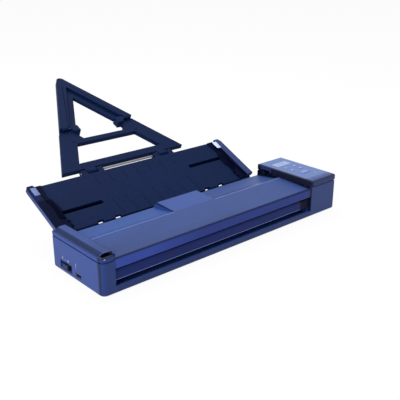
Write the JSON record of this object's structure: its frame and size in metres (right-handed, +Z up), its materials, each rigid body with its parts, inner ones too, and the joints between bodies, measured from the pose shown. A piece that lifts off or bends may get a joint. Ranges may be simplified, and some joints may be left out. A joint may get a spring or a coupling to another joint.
{
  "type": "document scanner",
  "caption": "Portable sheet-fed document scanner with a hinged top cover, control pod and a folding rear paper support with sliding side guides.",
  "frame": {"origin": "middle of the flat underside of the base housing, between its four feet", "axes": "+X to the machine's right seen from the front, where the control pod is; +Y to the rear, towards the paper support; +Z up"},
  "size_m": [0.2944, 0.2801, 0.1203],
  "materials": {
    "case_plastic": "satin moulded plastic, very dark blue-black",
    "guide_plastic": "fine-textured black plastic",
    "grey_plastic": "satin grey plastic",
    "rubber": "matte rubber",
    "steel": "ground steel",
    "nylon": "natural nylon",
    "glass": "clear",
    "board_green": "lacquered circuit board",
    "display_glass": "clear window over a grey display",
    "pack_silver": "foil-wrapped cell pack"
  },
  "bodies": {
    "root": {"base_housing": "case_plastic", "left_rim_cap": "case_plastic", "control_pod": "case_plastic", "display_window": "display_glass", "status_lens": "display_glass", "control_board": "board_green", "switch_body": "grey_plastic", "usb_socket": "steel", "lower_paper_guide": "guide_plastic", "lower_sensor": "guide_plastic", "lower_sensor_glass": "glass", "main_board": "board_green", "battery_pack": "pack_silver", "drive_motor": "steel", "cover_pin_left": "steel", "cover_pin_right": "steel", "pod_screw_front": "steel", "pod_screw_rear": "steel", "foot_left_front": "rubber", "foot_left_rear": "rubber", "foot_right_front": "rubber", "foot_right_rear": "rubber", "tray_hinge_rod": "steel"},
    "cover": {"top_cover": "case_plastic", "cover_plate": "guide_plastic", "upper_sensor": "guide_plastic", "upper_sensor_glass": "glass"},
    "exit_idler": {"exit_idler": "nylon"},
    "feed_idler": {"feed_idler": "rubber"},
    "latch": {"cover_latch": "guide_plastic"},
    "switch_knob": {"power_switch": "guide_plastic"},
    "mode_key": {"mode_button": "grey_plastic"},
    "power_key": {"power_button": "grey_plastic"},
    "back_key": {"back_button": "grey_plastic"},
    "next_key": {"next_button": "grey_plastic"},
    "scan_key": {"scan_button": "grey_plastic"},
    "feed_train": {"feed_shaft": "steel", "feed_roller_left": "rubber", "feed_roller_right": "rubber", "feed_gear": "nylon"},
    "exit_train": {"exit_shaft": "steel", "exit_roller_left": "rubber", "exit_roller_right": "rubber", "exit_gear": "nylon"},
    "motor_train": {"motor_pinion": "nylon", "motor_shaft": "steel"},
    "rear_idler": {"rear_idler_gear": "nylon"},
    "front_idler": {"front_idler_gear": "nylon"},
    "tray": {"tray_panel": "case_plastic", "frame_hinge_rod": "steel", "rack_cover": "guide_plastic"},
    "left_guide": {"left_side_guide": "guide_plastic", "left_guide_rack": "nylon"},
    "right_guide": {"right_side_guide": "guide_plastic", "right_guide_rack": "nylon"},
    "pinion": {"guide_pinion": "nylon"},
    "middle": {"middle_frame": "case_plastic", "loop_pin_left": "steel", "loop_pin_right": "steel"},
    "loop": {"support_loop": "case_plastic"}
  },
  "joints": [
    {"name": "cover_hinge", "type": "hinge", "parent": "root", "child": "cover", "pos_m": [0, 0.0335, 0.028], "axis": [-1, 0, 0], "range_deg": [0, 45]},
    {"name": "exit_idler_spin", "type": "hinge", "parent": "cover", "child": "exit_idler", "pos_m": [-0.01245, -0.0256, 0.0242], "axis": [1, 0, 0], "continuous": true},
    {"name": "feed_idler_spin", "type": "hinge", "parent": "cover", "child": "feed_idler", "pos_m": [-0.01245, 0.0176, 0.0252], "axis": [1, 0, 0], "continuous": true},
    {"name": "latch_slide", "type": "slide", "parent": "root", "child": "latch", "axis": [0, 1, 0], "range_m": [0, 0.001], "stiffness_N_per_m": 600},
    {"name": "switch_slide", "type": "slide", "parent": "root", "child": "switch_knob", "axis": [0, 1, 0], "range_m": [-0.0042, 0.0042]},
    {"name": "mode_press", "type": "slide", "parent": "root", "child": "mode_key", "axis": [0, 0, -1], "range_m": [0, 0.0004], "stiffness_N_per_m": 1200},
    {"name": "power_press", "type": "slide", "parent": "root", "child": "power_key", "axis": [0, 0, -1], "range_m": [0, 0.0004], "stiffness_N_per_m": 1200},
    {"name": "back_press", "type": "slide", "parent": "root", "child": "back_key", "axis": [0, 0, -1], "range_m": [0, 0.0004], "stiffness_N_per_m": 1200},
    {"name": "next_press", "type": "slide", "parent": "root", "child": "next_key", "axis": [0, 0, -1], "range_m": [0, 0.0004], "stiffness_N_per_m": 1200},
    {"name": "scan_press", "type": "slide", "parent": "root", "child": "scan_key", "axis": [0, 0, -1], "range_m": [0, 0.0004], "stiffness_N_per_m": 1200},
    {"name": "feed_spin", "type": "hinge", "parent": "root", "child": "feed_train", "pos_m": [-0.01245, 0.0176, 0.0151], "axis": [1, 0, 0], "continuous": true},
    {"name": "exit_spin", "type": "hinge", "parent": "root", "child": "exit_train", "pos_m": [-0.01245, -0.0256, 0.0151], "axis": [1, 0, 0], "continuous": true},
    {"name": "motor_spin", "type": "hinge", "parent": "root", "child": "motor_train", "pos_m": [0.1132, -0.004, 0.0151], "axis": [1, 0, 0], "continuous": true},
    {"name": "rear_idler_spin", "type": "hinge", "parent": "root", "child": "rear_idler", "pos_m": [0.1132, 0.0053, 0.0151], "axis": [1, 0, 0], "continuous": true},
    {"name": "front_idler_spin", "type": "hinge", "parent": "root", "child": "front_idler", "pos_m": [0.1132, -0.0133, 0.0151], "axis": [1, 0, 0], "continuous": true},
    {"name": "tray_hinge", "type": "hinge", "parent": "root", "child": "tray", "pos_m": [0, 0.04519, 0.01922], "axis": [1, 0, 0], "range_deg": [0, 30]},
    {"name": "left_guide_slide", "type": "slide", "parent": "tray", "child": "left_guide", "axis": [1, 0, 0], "range_m": [0, 0.05]},
    {"name": "right_guide_slide", "type": "slide", "parent": "tray", "child": "right_guide", "axis": [1, 0, 0], "range_m": [-0.05, 0]},
    {"name": "pinion_turn", "type": "hinge", "parent": "tray", "child": "pinion", "pos_m": [-0.016, 0.07369, 0.03264], "axis": [0, -0.4258, 0.9048], "range_deg": [0, 520]},
    {"name": "frame_fold", "type": "hinge", "parent": "tray", "child": "middle", "pos_m": [0, 0.10677, 0.05041], "axis": [1, 0, 0], "range_deg": [-45, 0]},
    {"name": "loop_fold", "type": "hinge", "parent": "middle", "child": "loop", "pos_m": [0, 0.16231, 0.08152], "axis": [1, 0, 0], "range_deg": [0, 170]}
  ],
  "couplings": [
    {"joint": "exit_spin", "follows": "feed_spin", "ratio": 1},
    {"joint": "motor_spin", "follows": "feed_spin", "ratio": 1.7143},
    {"joint": "rear_idler_spin", "follows": "feed_spin", "ratio": -1.4118},
    {"joint": "front_idler_spin", "follows": "feed_spin", "ratio": -1.4118},
    {"joint": "right_guide_slide", "follows": "left_guide_slide", "ratio": -1},
    {"joint": "pinion_turn", "follows": "left_guide_slide", "rad_per_m": 178.57}
  ]
}
